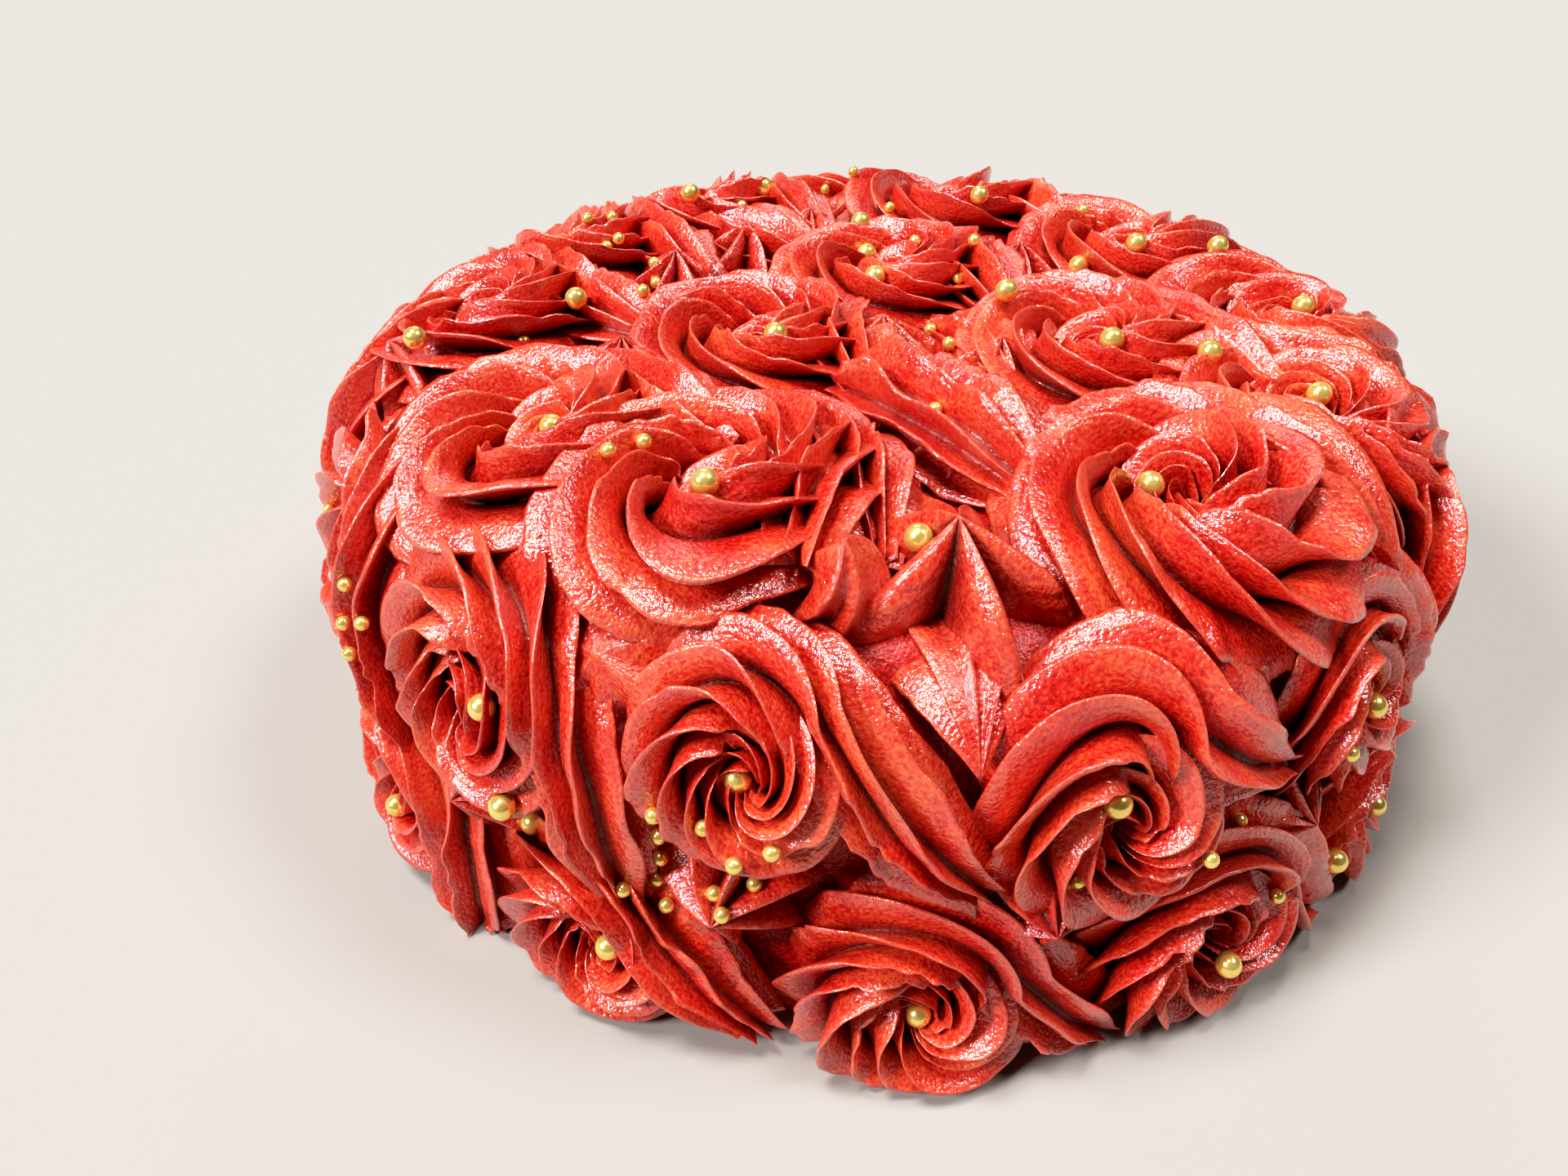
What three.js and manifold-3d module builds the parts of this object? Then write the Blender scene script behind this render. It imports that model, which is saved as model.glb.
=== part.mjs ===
// A round cake covered in piped buttercream roses and dotted with sugar pearls.
// Millimetres, +Z up, the origin in the middle of the flat underside.
// The coated cake, its roses, the filler stars and the pearls are one solid.

import * as THREE from 'three';
import { mergeVertices } from 'three/addons/utils/BufferGeometryUtils.js';
import Module from 'manifold-3d';

// Driving dimensions of the whole cake
const CAKE_DIAMETER = 226; // over the roses on the wall
const CAKE_HEIGHT = 94; // from the underside to the tops of the roses
const COAT_ROUNDING = 22; // radius of the coat's top edge
const COAT_SIDES = 28; // straight sides round the coat
const ROUNDING_STEPS = 3; // straight steps over the coat's top edge

// Driving dimensions of one piped rose: a ridged rope laid round in a loop
const ROPE_RADIUS = 10.5; // from the middle of the rope out to a ridge
const GROOVE_RADIUS = 5; // from the middle of the rope out to the bottom of a groove
const RIM_GROOVE_RADIUS = 8.5; // the same at the rim, where the grooves run out
const ROPE_LIFT = 3.5; // height of the rope's middle over the coat
const ROSE_LOOP = 14.5; // radius of the loop
const RIDGES = 6; // ridges round one rose
const RIDGE_TURN = THREE.MathUtils.degToRad(150); // turn of a ridge from the heart to the rim
const HEART_SLOPE = THREE.MathUtils.degToRad(160); // where the ridges start, round the rope's section
const RIM_SLOPE = THREE.MathUtils.degToRad(0); // where they reach the rim
const RIDGE_STEPS = 4; // points along a ridge from the heart to the rim
const HEART_HEIGHT = 5; // height of the middle of the heart over the coat
const SKIRT_DEPTH = 7; // how far the rim runs down into the coat
const SKIRT_FLARE = 1.04; // spread of the rim at its foot
const TAIL_REACH = 0.22; // how much further the rim reaches where the rope ends
const TAIL_ANGLE = THREE.MathUtils.degToRad(-40); // the rope ends low on the right
const TAIL_SHARPNESS = 3; // the higher, the narrower the stretch that reaches further
const SIZE_SPREAD = 0.12; // the largest rose is this much larger than the smallest

// Driving dimensions of a filler star: a small ridged dollop between the roses
const STAR_RADIUS = 15;
const STAR_HEIGHT = 13;
const STAR_RIDGES = 6;
const STAR_GROOVE = 0.5; // groove radius as a share of the ridge radius
const STAR_TURN = THREE.MathUtils.degToRad(50);
const STAR_RINGS = [[1, -0.4], [0.85, 0.3], [0.42, 0.8]]; // share of the radius, share of the height

// Driving dimensions of the sugar pearls
const LARGE_PEARL_RADIUS = 2.6;
const SMALL_PEARL_RADIUS = 1.6;
const HEART_OFFSET = 5; // a pearl rests this far above the middle of its rose
const PEARL_SINK = 0.2; // share of the radius that is pressed into the icing
const SCATTERED_PEARLS = 26;
const GOLDEN_RATIO = (Math.sqrt(5) - 1) / 2;

// Where the roses sit. Azimuth 0 faces the front, and it grows towards the right.
const TOP_RING = [
  { azimuth: -152, radius: 84 },
  { azimuth: -125, radius: 83 },
  { azimuth: -98, radius: 80 },
  { azimuth: -55, radius: 73 },
  { azimuth: -27, radius: 70 },
  { azimuth: 31, radius: 73 },
  { azimuth: 67, radius: 80 },
  { azimuth: 94, radius: 81 },
  { azimuth: 126, radius: 76 },
  { azimuth: 163, radius: 80 },
];
const TOP_MIDDLE = [
  { azimuth: -74, radius: 24 },
  { azimuth: 77, radius: 43 },
  { azimuth: 170, radius: 30 },
];
const TOP_STARS = [
  { azimuth: 2, radius: 76, size: 1.3 },
  { azimuth: 3, radius: 43, size: 1.3 },
  { azimuth: 117, radius: 9, size: 1 },
  { azimuth: -80, radius: 86, size: 1.1 },
  { azimuth: -73, radius: 52, size: 0.8 },
  { azimuth: -124, radius: 52, size: 1 },
  { azimuth: -167, radius: 58, size: 1.1 },
  { azimuth: 136, radius: 47, size: 1 },
];
const ROSES_PER_ROW = 13;
const WALL_ROWS = [
  { height: 60, firstAzimuth: -12 },
  { height: 17, firstAzimuth: 2 },
];

// Vertices that are closer than this are one
const MERGE_DISTANCE = 1e-4;

// Colours
const BUTTERCREAM_RED = 0xb5202a;
const BUTTERCREAM_ROUGHNESS = 0.45;

// Sizes that follow from the driving dimensions
const ROSE_HEIGHT = ROPE_LIFT + ROPE_RADIUS;
const COAT_RADIUS = CAKE_DIAMETER / 2 - ROSE_HEIGHT;
const COAT_TOP = CAKE_HEIGHT - ROSE_HEIGHT;
const FLAT_RADIUS = COAT_RADIUS - COAT_ROUNDING;
const ROUNDING_LENGTH = COAT_ROUNDING * Math.PI / 2;
const WALL_TOP = COAT_TOP - COAT_ROUNDING;

// A point on the coat's outline, found by its distance from the axis along the coat:
// out over the flat top, round the edge and down the wall. The normal points out of the coat.
function coatOutline(along) {
  if (along <= FLAT_RADIUS) {
    return { radius: along, height: COAT_TOP, out: 0, up: 1 };
  }
  const turn = Math.min((along - FLAT_RADIUS) / COAT_ROUNDING, Math.PI / 2);
  const below = Math.max(along - FLAT_RADIUS - ROUNDING_LENGTH, 0);
  return {
    radius: FLAT_RADIUS + COAT_ROUNDING * Math.sin(turn),
    height: WALL_TOP + COAT_ROUNDING * Math.cos(turn) - below,
    out: Math.sin(turn),
    up: Math.cos(turn),
  };
}

// The distance along the coat at which its wall or rounded edge passes a height.
function alongAtHeight(height) {
  if (height <= WALL_TOP) {
    return FLAT_RADIUS + ROUNDING_LENGTH + WALL_TOP - height;
  }
  return FLAT_RADIUS + COAT_ROUNDING * Math.acos((height - WALL_TOP) / COAT_ROUNDING);
}

// The point that stands a given lift off the coat.
function overCoat(along, azimuth, lift) {
  const spot = coatOutline(along);
  const radius = spot.radius + lift * spot.out;
  const height = spot.height + lift * spot.up;
  return new THREE.Vector3(radius * Math.sin(azimuth), -radius * Math.cos(azimuth), height);
}

// Lays a piece made flat (x right, y up, z out) on the top, round a centre, and over the edge.
function layOnTop(geometry, centre) {
  const azimuth = THREE.MathUtils.degToRad(centre.azimuth);
  const centreX = centre.radius * Math.sin(azimuth);
  const centreY = -centre.radius * Math.cos(azimuth);
  return bend(geometry, (point) => {
    const x = centreX + point.x;
    const y = centreY + point.y;
    return overCoat(Math.hypot(x, y), Math.atan2(x, -y), point.z);
  });
}

// Lays a piece made flat round the wall, its middle at a height and an azimuth.
function layOnWall(geometry, height, azimuth) {
  const middle = alongAtHeight(height);
  return bend(geometry, (point) => overCoat(middle - point.y, azimuth + point.x / COAT_RADIUS, point.z));
}

// Moves every vertex of a geometry by a rule.
function bend(geometry, rule) {
  const position = geometry.getAttribute('position');
  const point = new THREE.Vector3();
  for (let i = 0; i < position.count; i += 1) {
    point.fromBufferAttribute(position, i);
    position.setXYZ(i, ...rule(point).toArray());
  }
  return geometry;
}

// A closed ridged dome: rings of points from the middle outwards, a tip inside the first ring and
// a foot under the last. Each ring lists its points anticlockwise, seen from above.
function domeGeometry(tip, rings, footHeight) {
  const columns = rings[0].length;
  const points = [tip, ...rings.flat(), new THREE.Vector3(0, 0, footHeight)];
  const foot = points.length - 1;
  const vertex = (ring, column) => 1 + ring * columns + (column % columns);
  const faces = [];
  for (let column = 0; column < columns; column += 1) {
    faces.push(0, vertex(0, column), vertex(0, column + 1));
    for (let ring = 0; ring + 1 < rings.length; ring += 1) {
      const inner = vertex(ring, column);
      const innerNext = vertex(ring, column + 1);
      const outer = vertex(ring + 1, column);
      const outerNext = vertex(ring + 1, column + 1);
      faces.push(inner, outer, innerNext, innerNext, outer, outerNext);
    }
    faces.push(foot, vertex(rings.length - 1, column + 1), vertex(rings.length - 1, column));
  }
  const geometry = new THREE.BufferGeometry().setFromPoints(points);
  geometry.setIndex(faces);
  return geometry;
}

// A ring of points that lie on a ridge and in a groove by turns. The shape gives [radius, height].
function ridgedRing(ridges, turn, shape) {
  return Array.from({ length: 2 * ridges }, (_, column) => {
    const angle = turn + Math.PI * column / ridges;
    const [radius, height] = shape(column % 2 === 0, angle);
    return new THREE.Vector3(radius * Math.cos(angle), radius * Math.sin(angle), height);
  });
}

// One rose: each ridge climbs out of the heart, over the rope and down to the rim while it turns
// anticlockwise, and the rim reaches further where the rope ends.
function roseGeometry(size, start) {
  const tail = (angle) => 1 + TAIL_REACH * Math.max(0, Math.cos(angle - TAIL_ANGLE)) ** TAIL_SHARPNESS;
  const rings = [];
  for (let step = 0; step < RIDGE_STEPS; step += 1) {
    const share = step / (RIDGE_STEPS - 1);
    const slope = THREE.MathUtils.lerp(HEART_SLOPE, RIM_SLOPE, share);
    const groove = THREE.MathUtils.lerp(GROOVE_RADIUS, RIM_GROOVE_RADIUS, share ** 2);
    rings.push(ridgedRing(RIDGES, start + RIDGE_TURN * share, (onRidge, angle) => {
      const reach = onRidge ? ROPE_RADIUS : groove;
      const radius = ROSE_LOOP + reach * Math.cos(slope);
      const spread = THREE.MathUtils.lerp(1, tail(angle), share ** 2);
      return [size * spread * radius, ROPE_LIFT + reach * Math.sin(slope)];
    }));
  }
  rings.push(ridgedRing(RIDGES, start + RIDGE_TURN, (onRidge, angle) => {
    const radius = ROSE_LOOP + (onRidge ? ROPE_RADIUS : RIM_GROOVE_RADIUS);
    return [size * tail(angle) * SKIRT_FLARE * radius, -SKIRT_DEPTH];
  }));
  return domeGeometry(new THREE.Vector3(0, 0, HEART_HEIGHT), rings, -SKIRT_DEPTH);
}

// One filler star: a twisted ridged dollop that rises to a point.
function starGeometry(start, size) {
  const rings = STAR_RINGS.map(([width, height]) => {
    const turn = start + STAR_TURN * height;
    return ridgedRing(STAR_RIDGES, turn, (onRidge) => {
      const radius = width * size * STAR_RADIUS * (onRidge ? 1 : STAR_GROOVE);
      return [radius, height * STAR_HEIGHT];
    });
  }).reverse();
  const footHeight = STAR_RINGS[0][1] * STAR_HEIGHT;
  return domeGeometry(new THREE.Vector3(0, 0, STAR_HEIGHT), rings, footHeight);
}

// The coated cake under the piping, turned round the axis.
function coatGeometry() {
  const outline = [new THREE.Vector2(0, 0), new THREE.Vector2(COAT_RADIUS, 0)];
  for (let step = 0; step <= ROUNDING_STEPS; step += 1) {
    const spot = coatOutline(FLAT_RADIUS + ROUNDING_LENGTH * (1 - step / ROUNDING_STEPS));
    outline.push(new THREE.Vector2(spot.radius, spot.height));
  }
  outline.push(new THREE.Vector2(0, COAT_TOP));
  return new THREE.LatheGeometry(outline, COAT_SIDES).rotateX(Math.PI / 2);
}

// An even spread of shares from 0 to 1 that never repeats.
function spreadShare(index) {
  return (index * GOLDEN_RATIO) % 1;
}

// Every rose on the cake: its geometry, and the spot of its heart as a distance along the coat.
function layRoses() {
  const roses = [];
  const nextRose = () => {
    const share = spreadShare(roses.length + 1);
    return roseGeometry(1 + SIZE_SPREAD * (share - 0.5), 2 * Math.PI * share);
  };
  for (const centre of [...TOP_RING, ...TOP_MIDDLE]) {
    const azimuth = THREE.MathUtils.degToRad(centre.azimuth);
    roses.push({ geometry: layOnTop(nextRose(), centre), along: centre.radius, azimuth });
  }
  for (const row of WALL_ROWS) {
    for (let place = 0; place < ROSES_PER_ROW; place += 1) {
      const azimuth = THREE.MathUtils.degToRad(row.firstAzimuth + 360 * place / ROSES_PER_ROW);
      const geometry = layOnWall(nextRose(), row.height, azimuth);
      roses.push({ geometry, along: alongAtHeight(row.height), azimuth });
    }
  }
  return roses;
}

// Spots for pearls: one large pearl in each rose's heart, and small ones spread over the cake.
function pearlSpots(roses) {
  const large = () => new THREE.IcosahedronGeometry(LARGE_PEARL_RADIUS);
  const small = () => new THREE.OctahedronGeometry(SMALL_PEARL_RADIUS);
  const spots = roses.map((rose) => ({ ...rose, along: rose.along - HEART_OFFSET, pearl: large() }));
  const lowest = alongAtHeight(WALL_ROWS.at(-1).height);
  for (let index = 1; index <= SCATTERED_PEARLS; index += 1) {
    const along = lowest * Math.sqrt(index / SCATTERED_PEARLS);
    const azimuth = 2 * Math.PI * spreadShare(index);
    spots.push({ along, azimuth, pearl: small() });
  }
  return spots;
}

const wasm = await Module();
wasm.setup();

// A closed geometry as a solid that can be joined and cut.
function toSolid(geometry) {
  const bare = geometry.clone();
  bare.deleteAttribute('normal');
  bare.deleteAttribute('uv');
  const merged = mergeVertices(bare, MERGE_DISTANCE);
  return new wasm.Manifold(new wasm.Mesh({
    numProp: 3,
    vertProperties: new Float32Array(merged.getAttribute('position').array),
    triVerts: new Uint32Array(merged.getIndex().array),
  }));
}

// A solid back as a geometry.
function toGeometry(solid) {
  const mesh = solid.getMesh();
  const geometry = new THREE.BufferGeometry();
  geometry.setAttribute('position', new THREE.BufferAttribute(mesh.vertProperties, 3));
  geometry.setIndex(new THREE.BufferAttribute(mesh.triVerts, 1));
  geometry.computeVertexNormals();
  return geometry;
}

// The outer skin alone, so that no pocket between the roses stays hollow inside.
function outerSkin(solid) {
  const skins = solid.decompose();
  return skins.reduce((largest, skin) => (skin.volume() > largest.volume() ? skin : largest));
}

// Everything below height zero is cut away, which leaves a flat underside.
function cutFlat(solid) {
  const depth = CAKE_HEIGHT;
  const below = new THREE.BoxGeometry(2 * CAKE_DIAMETER, 2 * CAKE_DIAMETER, depth);
  return solid.subtract(toSolid(below.translate(0, 0, -depth / 2)));
}

// Pearls rest where a line from outside, square to the coat, first meets the piping. Each one has a
// corner turned straight down into the icing.
function pearlGeometries(cake, spots) {
  const target = new THREE.Mesh(toGeometry(cake), new THREE.MeshBasicMaterial());
  const caster = new THREE.Raycaster();
  return spots.map(({ along, azimuth, pearl }) => {
    const far = overCoat(along, azimuth, 2 * ROSE_HEIGHT);
    const near = overCoat(along, azimuth, 0);
    caster.set(far, near.sub(far).normalize());
    const [hit] = caster.intersectObject(target);
    const corner = new THREE.Vector3().fromBufferAttribute(pearl.getAttribute('position'), 0);
    const rest = hit.point.clone().addScaledVector(hit.face.normal, corner.length() * (1 - PEARL_SINK));
    const inwards = hit.face.normal.clone().negate();
    pearl.applyQuaternion(new THREE.Quaternion().setFromUnitVectors(corner.normalize(), inwards));
    return pearl.translate(rest.x, rest.y, rest.z);
  });
}

// Joins a list of geometries to a solid.
function joinAll(solid, geometries) {
  return geometries.reduce((whole, geometry) => whole.add(toSolid(geometry)), solid);
}

const roses = layRoses();
const stars = TOP_STARS.map((spot, index) => layOnTop(starGeometry(spreadShare(index), spot.size), spot));
const piped = joinAll(toSolid(coatGeometry()), [...roses.map((rose) => rose.geometry), ...stars]);
const bareCake = outerSkin(cutFlat(piped));
const dotted = joinAll(bareCake, pearlGeometries(bareCake, pearlSpots(roses)));

const buttercream = new THREE.MeshStandardMaterial({
  color: BUTTERCREAM_RED,
  roughness: BUTTERCREAM_ROUGHNESS,
  metalness: 0,
});
const cake = new THREE.Mesh(toGeometry(outerSkin(dotted)), buttercream);
cake.name = 'cake';

const part = new THREE.Group();
part.add(cake);

export default part;
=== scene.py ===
# %% [markdown]
# A round cake covered in piped buttercream roses and dotted with gold sugar pearls.
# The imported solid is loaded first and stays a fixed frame. Everything below is worked out in
# millimetres in that same frame, and only turned into metres when a mesh is made.

# %% Load the frame
import math
from functools import partial

import bpy
import numpy as np
from mathutils import Euler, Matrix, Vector
from mathutils.bvhtree import BVHTree


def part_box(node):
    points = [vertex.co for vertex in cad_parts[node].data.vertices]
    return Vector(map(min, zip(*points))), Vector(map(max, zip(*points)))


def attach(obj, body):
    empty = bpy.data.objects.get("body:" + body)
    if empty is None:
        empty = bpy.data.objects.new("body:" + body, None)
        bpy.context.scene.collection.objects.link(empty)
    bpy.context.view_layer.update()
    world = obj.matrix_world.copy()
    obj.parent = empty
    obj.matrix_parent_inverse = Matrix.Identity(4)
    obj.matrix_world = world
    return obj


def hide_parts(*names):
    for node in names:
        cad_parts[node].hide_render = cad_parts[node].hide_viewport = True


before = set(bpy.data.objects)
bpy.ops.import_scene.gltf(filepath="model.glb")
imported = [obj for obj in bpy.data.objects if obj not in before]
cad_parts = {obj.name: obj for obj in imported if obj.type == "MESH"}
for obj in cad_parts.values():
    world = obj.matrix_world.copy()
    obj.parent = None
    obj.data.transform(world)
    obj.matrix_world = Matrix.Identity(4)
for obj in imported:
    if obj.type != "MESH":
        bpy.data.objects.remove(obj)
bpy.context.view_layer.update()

MM = 0.001

# %% [markdown]
# The cake stands on a flat underside at height zero. Under the piping lies a coat of the same
# buttercream, spread over the whole cake, with a rounded top edge. Its sizes follow from the
# frame: the roses stand a known way off the coat, and the highest pearl a little more.

# %% Sizes of the coat
ROSE_STAND = 13.7
PEARL_STAND = 1.4
COAT_ROUNDING = 22.0

cake_low, cake_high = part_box("cake")
COAT_RADIUS = (cake_high.x - cake_low.x) / 2 / MM - ROSE_STAND
COAT_TOP = cake_high.z / MM - ROSE_STAND - PEARL_STAND
FLAT_RADIUS = COAT_RADIUS - COAT_ROUNDING
ROUNDING_LENGTH = COAT_ROUNDING * math.pi / 2
WALL_TOP = COAT_TOP - COAT_ROUNDING
COAT_LENGTH = FLAT_RADIUS + ROUNDING_LENGTH + WALL_TOP
print(f"coat: radius {COAT_RADIUS:.1f} mm, top {COAT_TOP:.1f} mm")

# %% [markdown]
# The camera comes early, because some pearls are later found by looking through it. It stands where
# the photograph was taken: close to the cake, a little to the left, looking down on it. The focal
# length is given in pixels of the 1920 by 1440 picture and turned into a lens for a 36 mm sensor.

# %% The camera
PHOTO_WIDTH = 1920
PHOTO_HEIGHT = 1440
FOCAL_PIXELS = 1443
SENSOR_WIDTH = 36.0
CAMERA_PLACE = Vector((-19.3, -221.9, 185.1))
CAMERA_TURN = Euler((math.radians(53.8), 0, 0))
NEAREST_SIGHT = 0.01


def new_object(name, data):
    """An object put into the scene."""
    made = bpy.data.objects.new(name, data)
    bpy.context.scene.collection.objects.link(made)
    return made


camera_data = bpy.data.cameras.new("camera")
camera_data.sensor_width = SENSOR_WIDTH
camera_data.lens = SENSOR_WIDTH * FOCAL_PIXELS / PHOTO_WIDTH
camera_data.clip_start = NEAREST_SIGHT
camera = new_object("camera", camera_data)
camera.location = CAMERA_PLACE * MM
camera.rotation_euler = CAMERA_TURN
bpy.context.scene.camera = camera
print(f"camera: lens {camera_data.lens:.1f} mm")

# %% [markdown]
# Icing is never even, so most shapes below are roughened by noise. Blender's own noise works on
# one point at a time. This one takes whole arrays: it blends a fixed table of random numbers, and
# a seed gives the same table on every run.

# %% Noise and blending helpers
NOISE_SIZE = 64


def smooth_step(value, start, end):
    """Rises from 0 at start to 1 at end along the curve 3t^2 - 2t^3."""
    share = np.clip((value - start) / (end - start), 0, 1)
    return share * share * (3 - 2 * share)


def soft_floor(value, lowest, softness):
    """The larger of value and lowest, rounded where they meet.

    It is lowest plus half of the gap and of the root of gap^2 + softness^2."""
    gap = value - lowest
    return lowest + 0.5 * (gap + np.sqrt(gap * gap + softness * softness))


def noise(x, y, seed):
    """Smooth noise from -1 to 1: random numbers at whole-number corners, blended between them."""
    table = np.random.default_rng(seed).uniform(-1, 1, (NOISE_SIZE, NOISE_SIZE))
    column = np.floor(x).astype(int)
    row = np.floor(y).astype(int)
    across = smooth_step(x - column, 0, 1)
    up = smooth_step(y - row, 0, 1)
    column = column % NOISE_SIZE
    row = row % NOISE_SIZE
    next_column = (column + 1) % NOISE_SIZE
    next_row = (row + 1) % NOISE_SIZE
    low = table[column, row] * (1 - across) + table[next_column, row] * across
    high = table[column, next_row] * (1 - across) + table[next_column, next_row] * across
    return low * (1 - up) + high * up


print("noise at a spot:", round(float(noise(np.array(0.3), np.array(0.7), 1)), 3))

# %% [markdown]
# Every rope of icing is first piped flat, with x to the right, y up and z out of the coat, and then
# laid on the cake. Bending a flat piece over a round edge could be left to a Simple Deform modifier,
# but a rule is exact: a distance along the coat, from the middle of the top outwards and down the
# wall, an azimuth round the cake, and a lift off the coat give one point.

# %% Laying flat icing on the coat
FOOT_SQUASH = 6.0
FOOT_SPREAD = 0.35


def over_coat(along, azimuth, lift):
    """A point off the coat: out over the flat top, round the edge, and down the wall.

    Round the edge the coat has turned by (along - flat radius) / rounding. Azimuth 0 faces the front
    and grows to the right. The lift goes along the coat's own normal."""
    turn = np.clip((along - FLAT_RADIUS) / COAT_ROUNDING, 0, math.pi / 2)
    below = np.maximum(along - FLAT_RADIUS - ROUNDING_LENGTH, 0)
    radius = np.minimum(along, FLAT_RADIUS) + COAT_ROUNDING * np.sin(turn) + lift * np.sin(turn)
    height = WALL_TOP + COAT_ROUNDING * np.cos(turn) - below + lift * np.cos(turn)
    return np.stack([radius * np.sin(azimuth), -radius * np.cos(azimuth), height], -1)


def along_at_height(height):
    """How far along the coat its wall or rounded edge passes a height."""
    if height <= WALL_TOP:
        return FLAT_RADIUS + ROUNDING_LENGTH + WALL_TOP - height
    return FLAT_RADIUS + COAT_ROUNDING * math.acos((height - WALL_TOP) / COAT_ROUNDING)


def lay_on_top(flat, centre):
    """Places flat icing round a centre on the top. Its distance from the axis runs along the coat."""
    x = centre[0] + flat[..., 0]
    y = centre[1] + flat[..., 1]
    return over_coat(np.hypot(x, y), np.arctan2(x, -y), flat[..., 2])


def rest_on_floor(points):
    """Icing near the floor is pressed flat and outwards.

    A height h below the squash s becomes s exp(h / s - 1), and a share of that rise goes outwards."""
    height = points[..., 2]
    pressed = np.minimum(height, FOOT_SQUASH)
    pressed = FOOT_SQUASH * np.exp(pressed / FOOT_SQUASH - 1)
    pressed = np.where(height < FOOT_SQUASH, pressed, height)
    spread = 1 + FOOT_SPREAD * (pressed - height) / COAT_RADIUS
    return np.stack([points[..., 0] * spread, points[..., 1] * spread, pressed], -1)


def lay_on_wall(flat, height, azimuth):
    """Places flat icing on the wall: x goes round the cake, y up the coat, z outwards."""
    along = along_at_height(height) - flat[..., 1]
    return rest_on_floor(over_coat(along, azimuth + flat[..., 0] / COAT_RADIUS, flat[..., 2]))


print("a point on the rounded edge:", over_coat(FLAT_RADIUS + 0.5 * ROUNDING_LENGTH, 0.0, 0.0).round(1))

# %% [markdown]
# Every shape here is a tube: rings of points, closed round each ring, with a fan of triangles to a
# point at either end. One function makes the faces of any tube, so ropes, dollops, pearls and the
# coat all come out closed, with their faces outwards. Each tube also gets its own tile in a flat map,
# with the way along it to the right and the way round it up, for streaks that follow the piping.

# %% Closed tubes
QUAD_CORNERS = ((0, 0), (1, 0), (1, 1), (0, 1))


def end_fans(rows, columns):
    """The triangles from a tube's first and last ring to the points that close it, and their map."""
    column = np.arange(columns)
    following = (column + 1) % columns
    last_row = (rows - 1) * columns
    tips = np.full(columns, rows * columns)
    first = np.stack([column, following, tips], -1)
    last = np.stack([last_row + following, last_row + column, tips + 1], -1)
    fan_maps = []
    for fan in (((1, 0), (1, 1), (0, 0.5)), ((rows, 1), (rows, 0), (rows + 1, 0.5))):
        corners = [np.stack([np.full(columns, ring), column + side], -1) for ring, side in fan]
        fan_maps.append(np.stack(corners, -2))
    return np.concatenate([first, last]), np.concatenate(fan_maps)


def tube(rings, start, end, lip=None):
    """The points, faces, flat map and lips of a closed tube, from rings shaped rows by columns by 3.

    Quads join each ring to the next, and fans close the two ends. The flat map counts the rings to
    the right and the columns up. If the volume, summed over the faces, is below zero, every face is
    turned round. The start and the end take the mean lip of the ring beside them."""
    rows, columns = rings.shape[:2]
    points = np.concatenate([rings.reshape(-1, 3), [start, end]])
    row, column = np.meshgrid(np.arange(rows - 1), np.arange(columns), indexing="ij")
    quads = [(row + down) * columns + (column + side) % columns for down, side in QUAD_CORNERS]
    quads = np.stack(quads, -1).reshape(-1, 4)
    quad_map = [np.stack([row + 1 + down, column + side], -1) for down, side in QUAD_CORNERS]
    quad_map = np.stack(quad_map, -2).reshape(-1, 4, 2)
    tris, tri_map = end_fans(rows, columns)
    a, b, c, d = (points[quads[:, corner]] for corner in range(4))
    volume = np.sum(a * np.cross(b, c)) + np.sum(a * np.cross(c, d))
    order = -1 if volume < 0 else 1
    if lip is None:
        lip = np.zeros((rows, columns))
    lips = np.concatenate([lip.ravel(), [lip[0].mean(), lip[-1].mean()]])
    whole_map = np.array([rows + 1, columns])
    return {"points": points, "lip": lips, "quads": quads[:, ::order], "tris": tris[:, ::order],
            "quad_map": quad_map[:, ::order] / whole_map, "tri_map": tri_map[:, ::order] / whole_map}


small_tube = tube(np.random.default_rng(1).normal(size=(3, 4, 3)), (0, 0, 1), (0, 0, -1))
print("faces of a tube of 3 rings of 4:", len(small_tube["quads"]), "and", len(small_tube["tris"]))

# %% [markdown]
# Tubes are joined into pieces, one mesh each. A piece rides on the fixed body, stands in for the
# solid cake and carries one material: a buttercream or the gold.

# %% Pieces
TILE_EDGE = 0.02
FLAT_MAP = "OFBake"
LIP_VALUE = "lip"


def join_tubes(tubes):
    """Several tubes as one: faces counted on, and each flat map in a tile of its own."""
    across = math.ceil(math.sqrt(len(tubes)))
    offset = 0
    parts = {key: [] for key in tubes[0]}
    for number, part in enumerate(tubes):
        corner = np.array([number % across, number // across])
        for key, value in part.items():
            if key in ("quads", "tris"):
                value = value + offset
            if key in ("quad_map", "tri_map"):
                value = (corner + TILE_EDGE + (1 - 2 * TILE_EDGE) * value) / across
            parts[key].append(value)
        offset += len(part["points"])
    return {key: np.concatenate(value) for key, value in parts.items()}


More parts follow.
